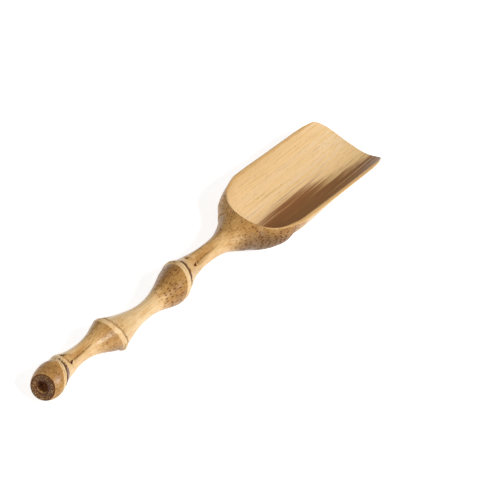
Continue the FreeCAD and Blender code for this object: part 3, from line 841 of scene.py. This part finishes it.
def bowl_layers(points, carved, edge):
    """The finish's numbers: pale neck, tan heel with dots, pale walls, grey underside.

    Some are painted shade: the heel's grey low on its right and its browner right side, and
    the browner left side of the neck; the dots there are the wood's own. The last number,
    shade, is painted shade too. It makes the right wall of the hollow brown, and its edge is
    a line along the trough that SHADE_X and SHADE_SIDE give.
    """
    x, y, z = points[:, 0], points[:, 1], points[:, 2]
    heel = ease(2.0, 12.0, x) * (1 - ease(22.0, 36.0, x))
    # Painted shade: the neck is browner on its left side, and the heel browner on its right and greyer
    # low down.
    left = ease(-1.0, 4.0, y) * ease(-14.0, -4.0, x)
    tan = 0.42 + 0.34 * heel * (1 + 0.5 * ease(-2.0, -8.0, y)) + 0.3 * left * ease(13.0, 5.0, x)
    grey = 0.95 * heel * ease(-1.0, -5.0, y) * ease(10.6, 6.5, z) * ease(26.0, 19.0, x)
    back = 0.75 * carved * ease(27.0, 18.0, x) * ease(9.0, 0.0, y)
    rosy = carved * (0.25 + 0.75 * bump(3.0, 5.5, y) + 0.6 * ease(60, 76, x) * ease(2, 8, y))
    # The shade number is painted shade: it browns the hollow's right wall.
    from_line = y - smooth(SHADE_X, SHADE_SIDE, np.maximum(x, SHADE_X[0]))
    shade = carved * ease(3.4, -5.5, from_line) * (1.25 - 0.38 * ease(35, 72, x))
    return {"tan": tan, "dots": np.clip(0.95 * heel + 0.7 * left + 0.1, 0, 1), "grey": grey,
            "scar": 0 * x, "carved": carved + 0 * x, "edge": edge + 0 * x, "back": back,
            "rosy": rosy, "shade": shade}


parts = [(skin_sheet, 0.0, 0.0), (hollow_sheet, 1.0, 0.0), (rim_strip, 0.0, 1.0)]
points, faces, layers = np.empty((0, 3)), [], []
for sheet, carved, edge in parts:
    flat = sheet.reshape(-1, 3)
    faces += sheet_faces(len(points), sheet.shape).tolist()
    points = np.concatenate([points, flat])
    layers.append(bowl_layers(flat, carved, edge))
# The pits and the furrow's foot are darkened as painted shade, over the leaf scar's own stain.
pits_and_line = np.maximum(2.0 * marks["pits"], 0.6 * marks["line"])
neck_scar_and_shade = np.maximum(0.9 * marks["stain"], pits_and_line).ravel()
layers[0]["scar"][:len(neck_scar_and_shade)] = neck_scar_and_shade
layers[0]["tan"][:len(neck_scar_and_shade)] += 0.45 * marks["face"].ravel()
faces += [[k + 1, k, len(points)] for k in range(COLUMNS - 1)]
points = np.vstack([points, skin_sheet[0].mean(0)])
joined = {layer: np.append(np.concatenate([part[layer] for part in layers]), 0.0)
          for layer in layers[0]}
into_frame("carved_bowl", points, faces, joined, ["scoop_neck", "scoop_bowl"])

# %% [markdown]
# ## Finishes
#
# Bamboo is pale cream where the skin was scraped and tan-brown where it was left, with
# dark specks where the fibre bundles are cut. Every finish is built from noise read
# in the piece's own space, so it has no pictures and no seams.
#
# One choice here trades truth for likeness. In the photograph the right wall of the
# hollow is dark brown, and the lamps below darken it only a little. So the number
# called shade lays painted shade on it, a dark brown on the wood. Setting SHADE_SHARE
# to 0 takes the painted shade off.

# %% A small kit for node finishes
class Finish:
    """A material whose nodes are added one call at a time."""

    def __init__(self, name):
        self.material = bpy.data.materials.new(name)
        self.material.use_nodes = True
        self.tree = self.material.node_tree
        self.shader = self.tree.nodes["Principled BSDF"]
        self.place = self.node("ShaderNodeTexCoord").outputs["Object"]

    def node(self, kind, settings=None, inputs=None):
        """A node with its settings, and its inputs set to numbers or linked."""
        made = self.tree.nodes.new(kind)
        for key, value in (settings or {}).items():
            setattr(made, key, value)
        for key, value in (inputs or {}).items():
            self.put(made.inputs[key], value)
        return made

    def put(self, socket, value):
        """Link a socket, or set its number."""
        if isinstance(value, bpy.types.NodeSocket):
            self.tree.links.new(value, socket)
        else:
            socket.default_value = value

    def layer(self, name):
        """One of the numbers stored at the piece's points."""
        return self.node("ShaderNodeAttribute", {"attribute_name": name}).outputs["Fac"]

    def stretched(self, along, across):
        """The place in the piece, stretched: how many cells to a millimetre."""
        scale = (along / MM, across / MM, across / MM)
        return self.node("ShaderNodeMapping", None,
                         {"Vector": self.place, "Scale": scale}).outputs["Vector"]

    def noise(self, along, across, detail=3.0, roughness=0.55, warp=0.0):
        """Cloudy noise, with so many clouds to a millimetre along and across."""
        where = self.stretched(along, across)
        return self.node("ShaderNodeTexNoise", None,
                         {"Vector": where, "Scale": 1.0, "Detail": detail, "Roughness": roughness,
                          "Distortion": warp}).outputs["Fac"]

    def cells(self, along, across, jitter=1.0):
        """The distance to the middle of the nearest random cell."""
        where = self.stretched(along, across)
        return self.node("ShaderNodeTexVoronoi", None,
                         {"Vector": where, "Scale": 1.0, "Randomness": jitter}).outputs["Distance"]

    def sum(self, what, first, second=0.0, third=None):
        """A sum, product or other plain operation on numbers."""
        made = self.node("ShaderNodeMath", {"operation": what})
        self.put(made.inputs[0], first)
        self.put(made.inputs[1], second)
        if third is not None:
            self.put(made.inputs[2], third)
        return made.outputs[0]

    def step(self, value, low, high, to_low=0.0, to_high=1.0):
        """An S-shaped change from to_low at low to to_high at high."""
        return self.node("ShaderNodeMapRange", {"interpolation_type": "SMOOTHSTEP"},
                         {"Value": value, "From Min": low, "From Max": high, "To Min": to_low,
                          "To Max": to_high}).outputs["Result"]

    def blend(self, share, first, second):
        """One colour laid over another by a share."""
        made = self.node("ShaderNodeMix", {"data_type": "RGBA"})
        self.put(made.inputs[0], share)
        for socket, colour in ((made.inputs[6], first), (made.inputs[7], second)):
            linked = isinstance(colour, bpy.types.NodeSocket)
            self.put(socket, colour if linked else (*colour, 1.0))
        return made.outputs[2]

    def relief(self, height, distance, strength=1.0):
        """Bumps whose heights are given in millimetres."""
        made = self.node("ShaderNodeBump", None,
                         {"Height": height, "Distance": distance * MM, "Strength": strength})
        self.put(self.shader.inputs["Normal"], made.outputs["Normal"])

    def surface(self, colour, rough, shine):
        """Set or link the shader's colour, roughness and strength of gloss."""
        for socket, value in (("Base Color", colour), ("Roughness", rough),
                              ("Specular IOR Level", shine)):
            self.put(self.shader.inputs[socket], value)

    def paint(self, *names):
        """Give the named pieces this finish alone."""
        for name in names:
            materials = bpy.data.objects[name].data.materials
            materials.clear()
            materials.append(self.material)


def tone(red, green, blue):
    """A colour from screen values of 0 to 255, as the linear light that nodes take."""
    return tuple(((v / 255 + 0.055) / 1.055) ** 2.4 for v in (red, green, blue))


CREAM, HONEY, TAN = tone(240, 208, 158), tone(222, 178, 118), tone(186, 139, 78)
BROWN, SPECK, SCAR = tone(134, 88, 48), tone(108, 64, 32), tone(84, 40, 20)
# On the next line, the first colour is the grey of low parts, in part painted shade, and the last is the
# brown of the painted shade in the hollow, laid on by the share two lines down.
MAUVE, SAWN, PAINTED_SHADE_BROWN = tone(112, 87, 60), tone(110, 75, 47), tone(136, 84, 40)
ROSY, GOLD = tone(240, 208, 164), tone(235, 197, 138)
SHADE_SHARE = 0.95
print("cream in linear light:", np.round(CREAM, 3))

# %% Bamboo skin, and the carved wood of the hollow
def bamboo(name, carved):
    """Skin from cream to tan with streaks and specks; the hollow shows long grain."""
    finish = Finish(name)
    noise, cells, layer = finish.noise, finish.cells, finish.layer
    blend, step, maths = finish.blend, finish.step, finish.sum
    streak = noise(0.09, 2.6, 4.0)
    cloud = noise(0.16, 0.34, 3.0, 0.6, 0.4)
    fine = noise(1.1, 6.0, 3.0)
    tan = maths("ADD", layer("tan"), step(cloud, 0.3, 0.7, -0.1, 0.1))
    tan = maths("ADD", tan, step(streak, 0.3, 0.7, -0.12, 0.14))
    colour = CREAM
    for low, high, over in ((0.0, 0.55, HONEY), (0.4, 0.8, TAN), (0.75, 1.25, BROWN)):
        colour = blend(step(tan, low, high), colour, over)
    # The grey number darkens and greys low parts, in part as painted shade, and also makes the dots
    # there larger.
    grey = maths("MULTIPLY", layer("grey"), step(fine, 0.35, 0.6, 0.5, 1.0))
    colour = blend(grey, colour, MAUVE)
    bundle = cells(0.62, 1.55, 0.5)
    size = maths("MULTIPLY_ADD", layer("grey"), 0.1, step(cloud, 0.3, 0.7, 0.22, 0.34))
    speck = step(maths("SUBTRACT", bundle, size), -0.08, 0.08, 1.0, 0.0)
    dots = maths("MULTIPLY", speck, layer("dots"))
    colour = blend(maths("MULTIPLY", dots, 0.8), colour, SPECK)
    frayed = noise(0.9, 1.5, 4.0, 0.65)
    scar = maths("ADD", layer("scar"), step(frayed, 0.3, 0.7, -0.42, 0.3))
    scar = step(scar, 0.35, 0.65)
    colour = blend(maths("MULTIPLY", scar, 0.9), colour, SCAR)
    height = maths("MULTIPLY_ADD", dots, -0.5, maths("MULTIPLY", fine, 0.35))
    height = maths("MULTIPLY_ADD", streak, 0.35, height)
    rough = step(fine, 0.3, 0.7, 0.27, 0.42)
    if not carved:
        sawn = layer("sawn")
        middle = layer("across")
        ends = cells(2.6, 2.6)
        face = blend(step(ends, 0.16, 0.4, 0.9, 0.0), SAWN, HONEY)
        face = blend(step(middle, 0.86, 0.97), face, SCAR)
        face = blend(step(middle, 0.6, 0.5, 0.0, 0.8), face, SCAR)
        colour = blend(sawn, colour, face)
        scar = maths("MAXIMUM", scar, sawn)
        height = maths("MULTIPLY_ADD", maths("MULTIPLY", ends, sawn), -1.2, height)
    else:
        inside = layer("carved")
        bands = noise(0.02, 1.3, 4.0, 0.6)
        grain = noise(0.04, 3.0, 5.0, 0.65)
        pores = noise(0.35, 7.0, 2.0)
        rosy = maths("MULTIPLY", step(bands, 0.4, 0.62, 0.15, 1.0), layer("rosy"))
        wood = blend(rosy, GOLD, ROSY)
        # The shade number lays painted shade, a dark brown, on the hollow's right wall.
        shade = maths("ADD", layer("shade"), step(bands, 0.32, 0.68, -0.34, 0.34))
        for what, low, high, most, over in ((shade, 0.15, 1.0, SHADE_SHARE, PAINTED_SHADE_BROWN),
                                            (grain, 0.52, 0.7, 0.5, TAN),
                                            (pores, 0.6, 0.72, 0.4, BROWN)):
            wood = blend(step(what, low, high, 0.0, most), wood, over)
        fibres = step(cells(0.22, 1.1), 0.12, 0.05)
        fibres = maths("MULTIPLY", fibres, step(cloud, 0.42, 0.6, 0.0, 0.6))
        wood = blend(fibres, wood, BROWN)
        speckle = step(noise(1.6, 3.4, 2.0), 0.56, 0.66)
        wood = blend(maths("MULTIPLY", speckle, layer("back")), wood, SPECK)
        colour = blend(inside, colour, wood)
        colour = blend(maths("MULTIPLY", layer("edge"), 0.75), colour, HONEY)
        height = maths("MULTIPLY_ADD", grain, maths("MULTIPLY", inside, 0.5), height)
        rough = maths("MULTIPLY_ADD", inside, 0.16, rough)
    shine = maths("MULTIPLY_ADD", step(tan, 0.4, 1.1), -0.25, 0.5)
    shine = maths("MULTIPLY_ADD", scar, -0.25, shine)
    finish.surface(colour, rough, maths("MULTIPLY_ADD", dots, -0.25, shine))
    finish.relief(height, 0.09, 0.7)
    return finish


bamboo("bamboo_skin", False).paint("butt_joint_wood", "second_joint_wood", "third_joint_wood")
bamboo("bamboo_carved", True).paint("carved_bowl")

# %% Rings and buds
def scarred(name, base, spots):
    """Pale wood that turns into a dark, crumbled scar."""
    finish = Finish(name)
    cloud = finish.noise(spots, spots, 4.0, 0.65)
    fine = finish.noise(3.0, 4.5, 3.0)
    colour = finish.blend(finish.step(cloud, 0.35, 0.7), base, HONEY)
    scar = finish.sum("ADD", finish.layer("scar"), finish.step(cloud, 0.3, 0.7, -0.22, 0.22))
    colour = finish.blend(finish.step(scar, 0.12, 0.5, 0.0, 0.8), colour, BROWN)
    colour = finish.blend(finish.step(scar, 0.4, 0.8, 0.0, 0.95), colour, SCAR)
    finish.surface(colour, finish.step(scar, 0.2, 0.7, 0.45, 0.85),
                   finish.step(scar, 0.2, 0.7, 0.4, 0.05))
    finish.relief(fine, 0.12, 0.8)
    return finish


scarred("bamboo_ring", CREAM, 0.5).paint(*RINGS)
scarred("bamboo_bud", TAN, 0.9).paint(*BUDS)

# %% Pith, and the walls across it
# Soft, crumbled and dark reddish brown, with paler fibre ends.
pith_finish = Finish("bamboo_pith")
crumb = pith_finish.noise(1.8, 1.8, 5.0, 0.7)
ends = pith_finish.cells(2.4, 2.4)
colour = pith_finish.blend(pith_finish.step(crumb, 0.35, 0.7), SCAR, BROWN)
colour = pith_finish.blend(pith_finish.step(ends, 0.1, 0.3, 0.25, 0.0), colour, TAN)
pith_finish.surface(colour, pith_finish.step(crumb, 0.3, 0.7, 0.75, 0.95), 0.1)
pith_finish.relief(crumb, 0.3, 1.0)
pith_finish.paint("butt_pith")
HIDDEN_WOOD = ("second_pith_core", "third_pith_core", "ring_one_diaphragm", "ring_two_diaphragm",
               "ring_three_diaphragm")
for node_name in HIDDEN_WOOD:
    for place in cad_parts[node_name].material_slots:
        place.material = pith_finish.material
print("finishes:", len([m for m in bpy.data.materials if m.users]))

# %% [markdown]
# ## Floor, light and background
#
# The scoop lies on white. A soft lamp stands to its right and above, so the right wall
# of the hollow is a little darker than the left. The floor would come out grey, so it
# also glows for the camera and for reflections, and keeps only a faint shadow.

# %% Floor
FLOOR_HALF = 3.0
FLOOR_GLOW = 0.68
PAPER, WHITE = (0.86, 0.86, 0.86, 1.0), (1.0, 1.0, 1.0, 1.0)
floor_mesh = bpy.data.meshes.new("floor")
floor_corners = [(-FLOOR_HALF, -FLOOR_HALF, 0), (FLOOR_HALF, -FLOOR_HALF, 0),
                 (FLOOR_HALF, FLOOR_HALF, 0), (-FLOOR_HALF, FLOOR_HALF, 0)]
floor_mesh.from_pydata(floor_corners, [], [(0, 1, 2, 3)])
add_object("floor", floor_mesh)
paper = Finish("white_paper")
paper.surface(PAPER, 0.95, 0.0)
ray = paper.node("ShaderNodeLightPath").outputs
seen = paper.sum("MAXIMUM", ray["Is Camera Ray"], ray["Is Glossy Ray"])
paper.put(paper.shader.inputs["Emission Color"], WHITE)
paper.put(paper.shader.inputs["Emission Strength"], paper.sum("MULTIPLY", seen, FLOOR_GLOW))
paper.paint("floor")

# %% Lamps
def lamp(name, direction, distance, size, watts):
    """A square soft lamp that stands in a direction and looks at the scoop."""
    data = bpy.data.lights.new(name, "AREA")
    data.size = size
    data.energy = watts
    way = np.array(direction, float)
    way /= np.linalg.norm(way)
    right = np.cross([0.0, 0.0, 1.0], way)
    right /= np.linalg.norm(right)
    stand(add_object(name, data), right, np.cross(way, right), way, way * distance)
    print(name, "at", np.round(way * distance, 2), "m,", watts, "W")


lamp("key", (-0.1, -1.0, 1.0), distance=1.4, size=0.45, watts=17.5)
lamp("fill", (-0.7, 0.9, 0.9), distance=1.6, size=1.0, watts=7.5)

WORLD_LIGHT, WORLD_SEEN = 0.15, 1.0
world = bpy.data.worlds.new("studio")
bpy.context.scene.world = world
world.use_nodes = True
nodes, links = world.node_tree.nodes, world.node_tree.links
path = nodes.new("ShaderNodeLightPath")
rays = nodes.new("ShaderNodeMix")
rays.data_type = "FLOAT"
rays.inputs[2].default_value = WORLD_LIGHT
rays.inputs[3].default_value = WORLD_SEEN
links.new(path.outputs["Is Camera Ray"], rays.inputs[0])
links.new(rays.outputs[0], nodes["Background"].inputs["Strength"])
nodes["Background"].inputs["Color"].default_value = WHITE
bpy.context.scene.view_settings.view_transform = "Standard"
